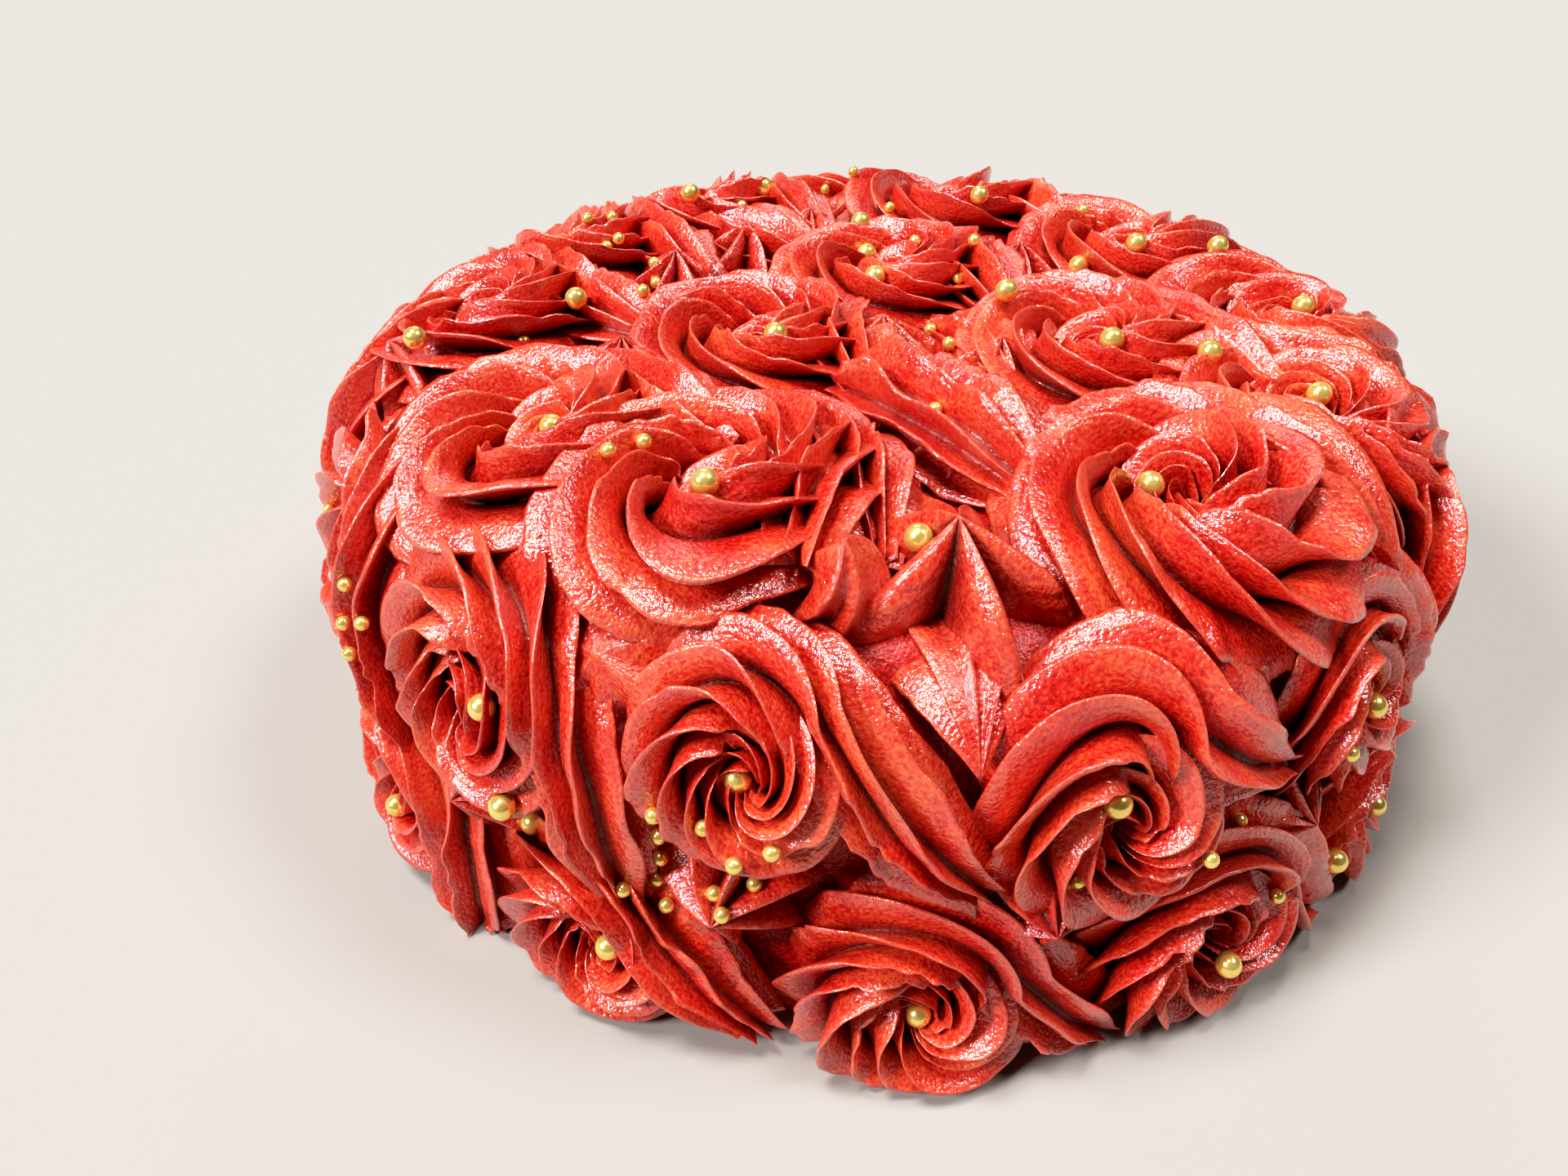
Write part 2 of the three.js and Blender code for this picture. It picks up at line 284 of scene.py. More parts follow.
def mesh_of(name, whole):
    """A smooth mesh in metres, with a flat map at its corners and a lip value at its points."""
    mesh = bpy.data.meshes.new(name)
    mesh.vertices.add(len(whole["points"]))
    mesh.vertices.foreach_set("co", (whole["points"] * MM).astype(np.float32).ravel())
    corners = np.concatenate([whole["quads"].ravel(), whole["tris"].ravel()]).astype(np.int32)
    mesh.loops.add(len(corners))
    mesh.loops.foreach_set("vertex_index", corners)
    sizes = np.concatenate([np.full(len(whole["quads"]), 4), np.full(len(whole["tris"]), 3)])
    mesh.polygons.add(len(sizes))
    mesh.polygons.foreach_set("loop_start", (np.cumsum(sizes) - sizes).astype(np.int32))
    mesh.update(calc_edges=True)
    mesh.shade_smooth()
    flat_map = np.concatenate([whole["quad_map"].ravel(), whole["tri_map"].ravel()])
    mesh.uv_layers.new(name=FLAT_MAP).uv.foreach_set("vector", flat_map.astype(np.float32))
    lips = mesh.attributes.new(LIP_VALUE, "FLOAT", "POINT")
    lips.data.foreach_set("value", whole["lip"].astype(np.float32))
    return mesh


def make_piece(name, tubes, material):
    """One object made of tubes, in place of the solid."""
    whole = join_tubes(tubes)
    mesh = mesh_of(name, whole)
    mesh.materials.append(material)
    piece = new_object(name, mesh)
    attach(piece, "root")
    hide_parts("cake")
    triangles = 2 * len(whole["quads"]) + len(whole["tris"])
    print(f"{name}: {len(tubes)} tubes, {triangles} triangles")
    return piece


# %% [markdown]
# Buttercream is fat and sugar whipped with air: it shines as if wet, with a fine grain that breaks up
# every highlight, small burst bubbles, and colour that is never quite mixed. The spread coat and the
# piping share that grain, so it is a node group with the place on the object as its input. It puts
# out soft blotches, small flecks, a fine grain, and a height that also has the pits of burst bubbles.

# %% Small helpers for nodes
def new_material(name):
    """A material with nodes, together with its tree and its shader."""
    material = bpy.data.materials.new(name)
    material.use_nodes = True
    return material, material.node_tree, material.node_tree.nodes["Principled BSDF"]


def feed(tree, node, values):
    """Gives inputs their values: links from other nodes, or else plain numbers and colours."""
    for title, value in values.items():
        if isinstance(value, bpy.types.NodeSocket):
            tree.links.new(value, node.inputs[title])
        else:
            node.inputs[title].default_value = value


def math_of(tree, operation, *values):
    """A Math node of up to three values."""
    node = tree.nodes.new("ShaderNodeMath")
    node.operation = operation
    feed(tree, node, dict(enumerate(values)))
    return node.outputs["Value"]


def range_of(tree, value, low, high, to_low, to_high):
    """A Map Range node: low to high becomes to_low to to_high, held at both ends."""
    node = tree.nodes.new("ShaderNodeMapRange")
    feed(tree, node, {"Value": value, "From Min": low, "From Max": high,
                      "To Min": to_low, "To Max": to_high})
    return node.outputs["Result"]


def blend_of(tree, share, first, second):
    """A Mix node between two colours."""
    node = tree.nodes.new("ShaderNodeMix")
    node.data_type = "RGBA"
    feed(tree, node, {"Factor": share, "A": first, "B": second})
    return node.outputs["Result"]


def noise_of(tree, place, scale, detail):
    """A Noise Texture node at a place."""
    node = tree.nodes.new("ShaderNodeTexNoise")
    feed(tree, node, {"Vector": place, "Scale": scale, "Detail": detail})
    return node.outputs["Fac"]


def ramp_of(tree, value, shades):
    """A Color Ramp node: a row of positions with their colours, blended between them."""
    node = tree.nodes.new("ShaderNodeValToRGB")
    feed(tree, node, {"Fac": value})
    steps = node.color_ramp.elements
    for position, _ in shades[1:-1]:
        steps.new(position)
    for step, (position, colour) in zip(steps, shades):
        step.position = position
        step.color = colour
    return node.outputs["Color"]


# %% The grain shared by all the icing
# Each noise has its scale, in features to the metre, and its detail.
BLOTCH_NOISE = (60.0, 3.0)
FLECK_NOISE = (330.0, 2.0)
GRAIN_NOISE = (1450.0, 2.0)
PIT_SCALE = 260.0
PIT_EDGE = (0.07, 0.13)
PIT_RARITY = (0.84, 0.87)
DENT_SHARE = 1.1


def icing_grain_group():
    """A node group: noise at several sizes of one place, as Blotch, Fleck, Grain and a Height."""
    group = bpy.data.node_groups.new("icing_grain", "ShaderNodeTree")
    group.interface.new_socket("Place", in_out="INPUT", socket_type="NodeSocketVector")
    for output in ("Blotch", "Fleck", "Grain", "Height"):
        group.interface.new_socket(output, in_out="OUTPUT", socket_type="NodeSocketFloat")
    place = group.nodes.new("NodeGroupInput").outputs["Place"]
    leave = group.nodes.new("NodeGroupOutput")
    blotch = noise_of(group, place, *BLOTCH_NOISE)
    fleck = noise_of(group, place, *FLECK_NOISE)
    grain = noise_of(group, place, *GRAIN_NOISE)
    cells = group.nodes.new("ShaderNodeTexVoronoi")
    feed(group, cells, {"Vector": place, "Scale": PIT_SCALE})
    hollow = range_of(group, cells.outputs["Distance"], *PIT_EDGE, 1.0, 0.0)
    rare = range_of(group, cells.outputs["Color"], *PIT_RARITY, 0.0, 1.0)
    pits = math_of(group, "MULTIPLY", hollow, rare)
    dents = math_of(group, "MULTIPLY_ADD", fleck, DENT_SHARE, grain)
    height = math_of(group, "SUBTRACT", dents, pits)
    feed(group, leave, {"Blotch": blotch, "Fleck": fleck, "Grain": grain, "Height": height})
    return group


icing_grain = icing_grain_group()
print("node group:", icing_grain.name)

# %% [markdown]
# The buttercream is a deep red that turns orange where it is thin or worked. On the piping a wine
# dark red is painted into the grooves as shadow and a paler red along the torn lips as highlight, and
# its crests shine under a wet film. The spread coat is painted a deeper red, as shade for the gaps
# between the roses, and is almost dry. Streaks run along the piping, because the nozzle drags the
# icing: they are noise on the tube's flat map, stretched along it. Grooves and lips could be guessed
# from the bends of the mesh, but each point already holds how far up its ridge it is, 1 on a lip.

# %% Buttercream
DEEP_RED = (0.34, 0.004, 0.002, 1)
FULL_RED = (0.62, 0.023, 0.014, 1)
WARM_RED = (0.74, 0.112, 0.041, 1)
# Painted highlight: the paler red put along the lips.
LIP_HIGHLIGHT_RED = (0.80, 0.160, 0.090, 1)
# Painted shadow: the wine dark red put into the grooves.
GROOVE_SHADOW_RED = (0.06, 0.0006, 0.0004, 1)
SHADES = ((0.12, DEEP_RED), (0.42, FULL_RED), (0.82, WARM_RED))
FLECK_SHARE = 0.25
GRAIN_SHARE = 1.4
# Painted shade: the spread coat's colour is moved down towards the deep red, as shadow in the gaps.
SPREAD_PAINTED_SHADE = -0.30
SPREAD_WET = 0.1
STREAK_SHARE = 0.45
STREAK_STRETCH = (40.0, 420.0, 1.0)
STREAK_NOISE = (1.0, 2.0)
STREAK_RELIEF = 0.7
ICING_IOR = 1.50
WET_IOR = 1.75
WET_ROUGHNESS = 0.07
GRAIN_RELIEF = 0.00048
RELIEF_STRENGTH = 0.6
# Each of these turns a low and a high value into two others.
# Painted shadow: the grooves darken the lower a point sits on its ridge.
PAINTED_GROOVE_SHADOW = (0.26, 0.63, 0.93, 0.0)
# Painted highlight: the lips are paled near the top of their ridge.
PAINTED_LIP_HIGHLIGHT = (0.88, 1.0, 0.0, 0.25)
WET_SHADE = (0.35, 0.60, 0.0, 1.0)
ICING_GLOSS = (0.3, 0.7, 0.34, 0.50)


def centred(tree, value, share):
    """A noise value about its middle, from minus to plus half the share."""
    return math_of(tree, "MULTIPLY_ADD", value, share, -0.5 * share)


def streaks_of(tree):
    """Noise on the flat map, stretched along the piping."""
    flat_map = tree.nodes.new("ShaderNodeUVMap")
    flat_map.uv_map = FLAT_MAP
    stretch = tree.nodes.new("ShaderNodeMapping")
    feed(tree, stretch, {"Vector": flat_map.outputs["UV"], "Scale": STREAK_STRETCH})
    return noise_of(tree, stretch.outputs["Vector"], *STREAK_NOISE)


def lip_of(tree):
    """The value that each point holds, how far up its ridge it is."""
    lip = tree.nodes.new("ShaderNodeAttribute")
    lip.attribute_name = LIP_VALUE
    return lip.outputs["Fac"]


def grained_normal(tree, height):
    """A Bump node, for the icing and for the wet film on it."""
    bump = tree.nodes.new("ShaderNodeBump")
    feed(tree, bump, {"Strength": RELIEF_STRENGTH, "Distance": GRAIN_RELIEF, "Height": height})
    return bump.outputs["Normal"]


def buttercream(name, piped):
    """The icing's material. Piped icing adds streaks, a painted groove shadow and a painted lip
    highlight to the grain of spread icing.
    """
    material, tree, shader = new_material(name)
    grain = tree.nodes.new("ShaderNodeGroup")
    grain.node_tree = icing_grain
    feed(tree, grain, {"Place": tree.nodes.new("ShaderNodeTexCoord").outputs["Object"]})
    flecks = centred(tree, grain.outputs["Fleck"], FLECK_SHARE)
    grains = centred(tree, grain.outputs["Grain"], GRAIN_SHARE)
    shade = math_of(tree, "ADD", math_of(tree, "ADD", grain.outputs["Blotch"], flecks), grains)
    height = grain.outputs["Height"]
    if piped:
        streaks = streaks_of(tree)
        shade = math_of(tree, "ADD", shade, centred(tree, streaks, STREAK_SHARE))
        height = math_of(tree, "MULTIPLY_ADD", streaks, STREAK_RELIEF, height)
        lip = lip_of(tree)
        colour = ramp_of(tree, shade, SHADES)
        # Painted shadow in the grooves, darker the lower a point sits on its ridge.
        colour = blend_of(tree, range_of(tree, lip, *PAINTED_GROOVE_SHADOW), colour, GROOVE_SHADOW_RED)
        # Painted highlight along the lips, where the rounded edge would catch the light.
        colour = blend_of(tree, range_of(tree, lip, *PAINTED_LIP_HIGHLIGHT), colour, LIP_HIGHLIGHT_RED)
        wet = range_of(tree, lip, *WET_SHADE)
    else:
        # The spread coat is painted darker, as shade in the gaps between the roses.
        colour = ramp_of(tree, math_of(tree, "ADD", shade, SPREAD_PAINTED_SHADE), SHADES)
        wet = SPREAD_WET
    normal = grained_normal(tree, height)
    feed(tree, shader, {
        "Base Color": colour,
        "Roughness": range_of(tree, grain.outputs["Blotch"], *ICING_GLOSS),
        "IOR": ICING_IOR,
        "Normal": normal,
        "Coat Weight": wet,
        "Coat Roughness": WET_ROUGHNESS,
        "Coat IOR": WET_IOR,
        "Coat Normal": normal,
    })
    return material


piped_icing = buttercream("piped_buttercream", piped=True)
spread_icing = buttercream("spread_buttercream", piped=False)
print("materials:", piped_icing.name, spread_icing.name)

# %% [markdown]
# The coat is the layer spread under the roses. It shows only in the gaps between them, so it is
# one surface turned round the axis, with the low waves that a spatula leaves.

# %% The spread coat
COAT_ROWS = 70
COAT_COLUMNS = 150
COAT_MIDDLE = 1.0
SPATULA_WAVE = 0.7
WAVE_ALONG = 9.0
WAVES_ROUND = (6, 5)
WAVE_SEED = 3


def spread_coat():
    """The coat's outline turned round the axis: out over the top, round the edge, down the wall.

    Its waves are noise of the way along, and of a cosine plus a sine, which meet again all round."""
    along = np.linspace(COAT_MIDDLE, COAT_LENGTH, COAT_ROWS)
    azimuth = np.linspace(0, 2 * math.pi, COAT_COLUMNS, endpoint=False)
    along, azimuth = np.meshgrid(along, azimuth, indexing="ij")
    way_round = WAVES_ROUND[0] * np.cos(azimuth) + WAVES_ROUND[1] * np.sin(azimuth)
    wave = SPATULA_WAVE * noise(along / WAVE_ALONG, way_round, WAVE_SEED)
    rings = over_coat(along, azimuth, wave - SPATULA_WAVE)
    rings[..., 2] = np.maximum(rings[..., 2], 0)
    return tube(rings, (0, 0, COAT_TOP - SPATULA_WAVE), (0, 0, 0))


def add_piping(name, tubes):
    """A piece of piped icing, kept with the others for the pearls to rest on."""
    icing_pieces.append(make_piece(name, tubes, piped_icing))


icing_pieces = [make_piece("spread_coat", [spread_coat()], spread_icing)]

# %% [markdown]
# All the piping leaves one nozzle: an open star with ten points. A rope could be a curve with the
# star as its bevel, but a curve's bevel turns with the curve, and a baker's hand does not. The nozzle
# keeps its own direction while it circles, so the star turns once against the rope in each
# loop. That is what draws the ridges out of the heart and over the rope like the petals of a rose.

# %% The nozzle's star
STAR_POINTS = 10
POINTS_PER_RIDGE = 10
RIDGE_CROWDING = 1.5
RIDGE_ROUNDING = 0.15
RIDGE_SCOOP = 1.45


def star_section(ridge_angles, rounding, scoop):
    """Angles round a star, the height of each from 0 in a groove to 1 on a ridge, and its ridge.

    Across a ridge u goes from -1 to 1, each side up to the middle of the gap to the next ridge, and is
    crowded at the ridge by a power. The height is 1 - |u| to the power of the scoop, which hollows
    the grooves, with the lip rounded off."""
    ridge_angles = np.asarray(ridge_angles, float)
    count = len(ridge_angles)
    after = (np.roll(ridge_angles, -1) - ridge_angles) % (2 * math.pi) / 2
    before = np.roll(after, 1)
    u = np.linspace(-1, 1, POINTS_PER_RIDGE, endpoint=False)
    u = np.tile(np.sign(u) * np.abs(u) ** RIDGE_CROWDING, count)
    ridge = np.repeat(np.arange(count), POINTS_PER_RIDGE)
    angle = ridge_angles[ridge] + u * np.where(u < 0, before[ridge], after[ridge])
    away = np.hypot(u, rounding) - rounding
    height = (1 - away / away.max()) ** scoop
    return angle, height, ridge


nozzle_turns = np.linspace(0, 2 * math.pi, STAR_POINTS, endpoint=False)
NOZZLE_STAR = star_section(nozzle_turns, RIDGE_ROUNDING, RIDGE_SCOOP)
print("points round the star:", len(NOZZLE_STAR[0]))

# %% [markdown]
# A rope carries the star along a route. Its ridges are torn a little where the icing drags, and they
# sway and lean over, each ridge in its own way. The grooves are deep where the rope begins and fill up
# further along it. In the heart of a rose the loop is tighter than the rope, so the inner side is held
# back softly before it would cross the middle. Where a rope ends, its ridges run on as fingers.

# %% A rope of icing
GROOVE_SHARES = (0.22, 0.42)
GROOVE_FILLING = (45.0, 120.0)
RIDGE_LEAN = 0.30
TEAR_LENGTH = 1.7
TEAR_DEPTH = 0.10
TORN_PATCHES = (-0.3, 0.5)
SMOOTH_LIP = 0.3
HIGHEST_LIP = 1.20
WAVER_LENGTH = 13.0
WAVER_DEPTH = 0.12
SWAY_LENGTH = 10.0
SWAY_TURN = 0.16
WARP_LENGTH = 26.0
WARP_DEPTH = 1.5
WARP_SHIFT = 9
DENT_LENGTH = 5.0
DENT_COLUMNS = 4.0
DENT_DEPTH = 0.05
HEART_SOFTNESS = 1.2
SHORT_FINGER = 0.3
NOISE_ROW_STEP = 7.3
NOISE_ROW_START = 0.5
SEEDS_PER_ROPE = 7


def route_length(x, y):
    """The length of a route up to each of its points."""
    return np.concatenate([[0], np.cumsum(np.hypot(np.diff(x), np.diff(y)))])


def by_ridge(length, ridge, spacing, seed):
    """Noise along a rope that is different on each ridge, because each reads its own row of it."""
    return noise(length / spacing, ridge[None, :] * NOISE_ROW_STEP + NOISE_ROW_START, seed)


def pipe_rope(x, y, radius, lift, finger, start, seed, begun=0.0, room=None):
    """Rings of points round a route on the flat, and how far out each is, as a share of the radius.

    At each step the star stands square to the route. A point's angle is its angle round the star, less
    the heading and a quarter turn, plus a start: 0 is the left of the route, a quarter turn is up. Its
    reach is the radius times groove + (1 - groove) x height. Tears and a waver lower the height, and
    the groove grows with the length piped. A room limits the inner side, a finger goes forward by its
    length times the height, and last the whole rope is warped a little."""
    tear_seed, waver_seed, sway_seed, warp_x_seed, warp_y_seed, torn_seed, dent_seed = range(
        seed, seed + SEEDS_PER_ROPE)
    heading = np.unwrap(np.arctan2(np.gradient(y), np.gradient(x)))[:, None]
    length = route_length(x, y)[:, None]
    angle, height, ridge = NOZZLE_STAR
    lip = height[None, :]
    torn = smooth_step(by_ridge(length, ridge, WAVER_LENGTH, torn_seed), *TORN_PATCHES)
    tear = TEAR_DEPTH * (SMOOTH_LIP + torn) * (1 + by_ridge(length, ridge, TEAR_LENGTH, tear_seed))
    waver = WAVER_DEPTH * (1 + by_ridge(length, ridge, WAVER_LENGTH, waver_seed))
    sway = SWAY_TURN * by_ridge(length, ridge, SWAY_LENGTH, sway_seed) - RIDGE_LEAN
    deep, shallow = GROOVE_SHARES
    groove = deep + (shallow - deep) * smooth_step(length + begun, *GROOVE_FILLING)
    dent = 1 + DENT_DEPTH * noise(length / DENT_LENGTH, np.arange(len(angle)) / DENT_COLUMNS, dent_seed)
    reach = radius[:, None] * dent * (groove + (1 - groove) * lip * (HIGHEST_LIP - tear - waver))
    turned = angle[None, :] - heading - math.pi / 2 + start + sway * lip
    out = reach * np.cos(turned)
    if room is not None:
        out = soft_floor(out, -room[:, None], HEART_SOFTNESS)
    fingers = np.random.default_rng(seed).uniform(SHORT_FINGER, 1, STAR_POINTS)
    forward = finger[:, None] * lip * fingers[ridge][None, :]
    flat_x = x[:, None] + np.cos(heading) * forward - np.sin(heading) * out
    flat_y = y[:, None] + np.sin(heading) * forward + np.cos(heading) * out
    flat_z = lift[:, None] + reach * np.sin(turned)
    noise_x = flat_x / WARP_LENGTH + WARP_SHIFT
    noise_y = flat_y / WARP_LENGTH + WARP_SHIFT
    warped_x = flat_x + WARP_DEPTH * noise(noise_x, noise_y, warp_x_seed)
    warped_y = flat_y + WARP_DEPTH * noise(noise_x, noise_y, warp_y_seed)
    return np.stack([warped_x, warped_y, flat_z], -1), groove + (1 - groove) * lip


def rope_tube(rings, lip):
    """A rope as a closed tube, its ends drawn to the middle of the first and the last ring."""
    return tube(rings, rings[0].mean(0), rings[-1].mean(0), lip)


# %% [markdown]
# A rose starts in its heart with a small loop, whose ridges fan out like a flower. The hand then
# swings out and lays a large loop round it, clockwise, for a little over one and a half turns in all.
# At the end it leaves the loop straight on, and the rope thins out into a tail that lies on its
# neighbour. Where the bag is squeezed less, the whole rope is thinner.

# %% One rose
ROPE_RADIUS = 10.4
ROPE_LIFT = 3.4
ROPE_SETTLED = (25.0, 65.0)
HEART_LIFT = 5.0
HEART_SINK = 2.0
HEART_LOOP = 3.0
HEART_SHARE = 0.42
HEART_SWELL = 26.0
HEART_GAP = 0.8
LEAST_ROOM = 0.5
ROSE_LOOP = 16.5
ROSE_TURNS = 1.7
SPIRAL = 2 * math.pi * ROSE_TURNS
LOOP_UNEVENNESS = 0.05
ROSE_STEPS = 195
TAIL_TAPER = 11.0
TAIL_THINNING = 0.48
TAIL_RISE = 2.0
TAIL_RISING = 30.0
FINGER_LENGTH = 7.0
FINE_STEPS = 800


def rose_route(turn, tail_angle, tail, opening, size, seed):
    """Where the hand is after a turn: a spiral from a small loop to a large one, then straight on.

    The loop opens smoothly between two shares of the spiral, and is a little oval. Straight on means
    that the loop is divided by the cosine of the turn past the spiral's end."""
    share = np.clip(turn / SPIRAL, 0, 1)
    loop = HEART_LOOP + (ROSE_LOOP - HEART_LOOP) * smooth_step(share, *opening)
    loop = loop * (1 + LOOP_UNEVENNESS * share * np.cos(2 * turn + seed))
    loop = size * loop / np.cos(np.clip(turn - SPIRAL, 0, None))
    angle = tail_angle + SPIRAL + tail - turn
    return loop * np.cos(angle), loop * np.sin(angle)


def rose(tail_angle, tail_turn, opening, size, start, seed, thickness=1.0):
    """One rose piped flat: its rings and their lips.

    The rings are spaced half by even turns and half by even lengths. The rope swells out of the heart
    and sinks to its resting height, and towards its end it thins and climbs on its neighbour."""
    tail_angle = math.radians(tail_angle)
    tail = math.radians(tail_turn)
    fine = np.linspace(0, SPIRAL + tail, FINE_STEPS)
    length = route_length(*rose_route(fine, tail_angle, tail, opening, size, seed))
    pace = (fine / fine[-1] + length / length[-1]) / 2
    turn = np.interp(np.linspace(0, 1, ROSE_STEPS), pace, fine)
    x, y = rose_route(turn, tail_angle, tail, opening, size, seed)
    length = route_length(x, y)
    begun = smooth_step(length, 0, HEART_SWELL)
    ending = 1 - smooth_step(length[-1] - length, 0, TAIL_TAPER)
    radius = thickness * size * ROPE_RADIUS * (HEART_SHARE + (1 - HEART_SHARE) * begun)
    radius = radius * (1 - TAIL_THINNING * ending)
    lift = HEART_LIFT + (ROPE_LIFT - HEART_LIFT) * smooth_step(length, *ROPE_SETTLED)
    climbing = 1 - smooth_step(length[-1] - length, 0, TAIL_RISING)
    lift = lift - HEART_SINK * (1 - begun) + TAIL_RISE * climbing
    room = np.maximum(np.hypot(x, y) - HEART_GAP, LEAST_ROOM)
    return pipe_rope(x, y, radius, lift, FINGER_LENGTH * ending, start, seed, room=room)


sample_rose = rose(tail_angle=-40, tail_turn=58, opening=(0, 1), size=1.0, start=0.0, seed=1)
print("points on one rose:", sample_rose[0].shape[:2])

# %% [markdown]
# Thirteen roses cover the top: ten in a ring that leans over the edge, and three inside it. Each has
# its place, close to that of the solid, the way its tail runs, and its size. A tail is given by the
# angle at which it ends, seen from the heart, and by how far past the loop it goes.

# %% Roses on the top
TOP_OPENING = (0.12, 0.78)
GOLDEN_RATIO = (math.sqrt(5) - 1) / 2
SEED_STEP = 10
# Azimuth, distance from the axis, tail angle, tail turn, size
TOP_GROUPS = {
    "rose_ring_left": [
        (-152, 84, -35, 58, 1.05),
        (-125, 83, -30, 58, 1.08),
        (-98, 80, -15, 60, 1.02),
        (-55, 73, -10, 50, 1.06),
        (-26, 69, -44, 28, 1.12),
    ],
    "rose_ring_right": [
        (35, 76, 8, 40, 1.14),
        (67, 80, 5, 55, 1.04),
        (94, 81, 0, 56, 1.07),
        (126, 76, -20, 56, 1.03),
        (163, 80, -35, 58, 1.06),
    ],
    "rose_middle": [
        (-74, 24, -40, 45, 1.04),
        (77, 43, -32, 52, 1.08),
        (170, 30, -40, 56, 1.03),
    ],
}


def spread_share(index):
    """An even spread of numbers from 0 to 1 that never repeats: the fraction of index x golden ratio."""
    return index * GOLDEN_RATIO % 1


def flat_place(azimuth, radius):
    """A place on the top from its azimuth in degrees and its distance from the axis."""
    turn = math.radians(azimuth)
    return radius * math.sin(turn), -radius * math.cos(turn)


def top_roses(places, first_index):
    """The roses of one group on the top, as closed tubes."""
    tubes = []
    for index, (azimuth, radius, tail_angle, tail_turn, size) in enumerate(places, first_index):
        start = 2 * math.pi * spread_share(index)
        flat, lip = rose(tail_angle, tail_turn, TOP_OPENING, size, start, SEED_STEP * index)
        tubes.append(rope_tube(lay_on_top(flat, flat_place(azimuth, radius)), lip))
    return tubes


next_rose = 1
for group_name, group_places in TOP_GROUPS.items():
    add_piping(group_name, top_roses(group_places, next_rose))
    next_rose += len(group_places)

# %% [markdown]
# Two rows of thirteen roses go round the wall, the lower one set half a place on. Their tails hang
# down to the right, and their loops open later than on the top. The icing of the lower row is pressed
# flat where it meets the floor. The roses in front are set one by one, and the others follow a rule.

# %% Roses on the wall
WALL_OPENING = (0.12, 1.05)
ROSES_PER_ROW = 13
UPPER_HEIGHT = 60.0
UPPER_FIRST = -12.0
LOWER_HEIGHT = 17.0
LOWER_FIRST = 2.0
# By its place in the row: shift in degrees, height, tail angle, tail turn, size, thickness
UPPER_FRONT = {
    -1: (-0.9, 57.5, -42, 55, 1.17, 0.76),
    0: (-1.8, 62.5, -30, 68, 0.80, 1.0),
    1: (1.4, 55.0, 5, 52, 0.93, 1.0),
    2: (2.3, 54.0, -40, 58, 0.95, 0.9),
}
LOWER_FRONT = {
    -2: (-4.5, 18.0, -44, 56, 1.05, 1.0),
    -1: (-2.8, 15.0, -15, 55, 0.90, 1.0),
    0: (-0.8, 15.0, -22, 58, 1.00, 1.0),
}
WALL_ROWS = {
    "upper": (UPPER_HEIGHT, UPPER_FIRST, UPPER_FRONT),
    "lower": (LOWER_HEIGHT, LOWER_FIRST, LOWER_FRONT),
}
WALL_SIDES = {"front": range(-2, 3), "right": range(3, 7), "left": range(7, 11)}
OTHER_TAILS = -44.0
TAIL_SPREAD = 30.0
TAIL_STRIDE = 3
OTHER_TURN = 60.0
OTHER_SIZE = 1.08
SIZE_SPREAD = 0.12


def wall_azimuth(first_azimuth, place):
    """The azimuth of a place in a row, counted to the right from the first."""
    return math.radians(first_azimuth + 360 * place / ROSES_PER_ROW)


def other_rose(row_height, index):
    """The rule for a rose that isn't in front, whose tail and size vary with its number."""
    tail_angle = OTHER_TAILS + TAIL_SPREAD * (spread_share(index * TAIL_STRIDE) - 0.5)
    size = OTHER_SIZE * (1 + SIZE_SPREAD * (spread_share(index) - 0.5))
    return 0.0, row_height, tail_angle, OTHER_TURN, size, 1.0


def wall_roses(row_height, first_azimuth, front, places, first_index):
    """Some roses of a row on the wall, as closed tubes."""
    tubes = []
    for place in places:
        index = first_index + place % ROSES_PER_ROW
        settings = front.get(place, other_rose(row_height, index))
        shift, height, tail_angle, tail_turn, size, thickness = settings
        start = 2 * math.pi * spread_share(index)
        flat, lip = rose(tail_angle, tail_turn, WALL_OPENING, size, start, SEED_STEP * index, thickness)
        azimuth = wall_azimuth(first_azimuth + shift, place)
        tubes.append(rope_tube(lay_on_wall(flat, height, azimuth), lip))
    return tubes


for row_name, row_settings in WALL_ROWS.items():
    for side_name, side_places in WALL_SIDES.items():
        side_tubes = wall_roses(*row_settings, side_places, next_rose)
        add_piping(f"{row_name}_row_{side_name}", side_tubes)
    next_rose += ROSES_PER_ROW

# %% [markdown]
# Gaps between the roses are filled with stars, dollops from the same nozzle pulled straight up to a
# point. A dollop is a star's section again, drawn in towards its tip, with each lobe turned and
# stretched as the gap lets it. The largest sits in front, between the two nearest roses, with one
# that droops over the edge under it and a rounded knob beside it. On the wall a star sits in each
# gap between the rows.

# %% Star fillers
DOLLOP_ROWS = 46
DOLLOP_FOOT = -6.0
POINTED = 2.2
ROUNDED = 4.0
LOBE_ROUNDING = 0.14
LOBE_SCOOP = 1.6
DOLLOP_TEAR = 0.05
DOLLOP_WAVER = 0.12
TEARS_UP = 14
WAVERS_UP = 3
# Each lobe's angle in degrees and its length
FRONT_LOBES = ((-66, 26), (-16, 21), (68, 20), (97, 26), (130, 20), (205, 19))
DROOP_LOBES = ((-30, 12), (25, 11), (80, 10), (140, 11), (200, 12), (235, 10), (275, 10))
KNOB_LOBES = ((0, 8), (60, 6.5), (144, 8), (200, 6.5), (288, 7.5))
WIDE_LOBES = ((0, 21), (48, 19), (105, 22), (150, 18), (208, 21), (260, 20), (310, 18))
PLAIN_LOBES = ((0, 17), (55, 15), (100, 18), (157, 16), (205, 15), (260, 18), (312, 16))
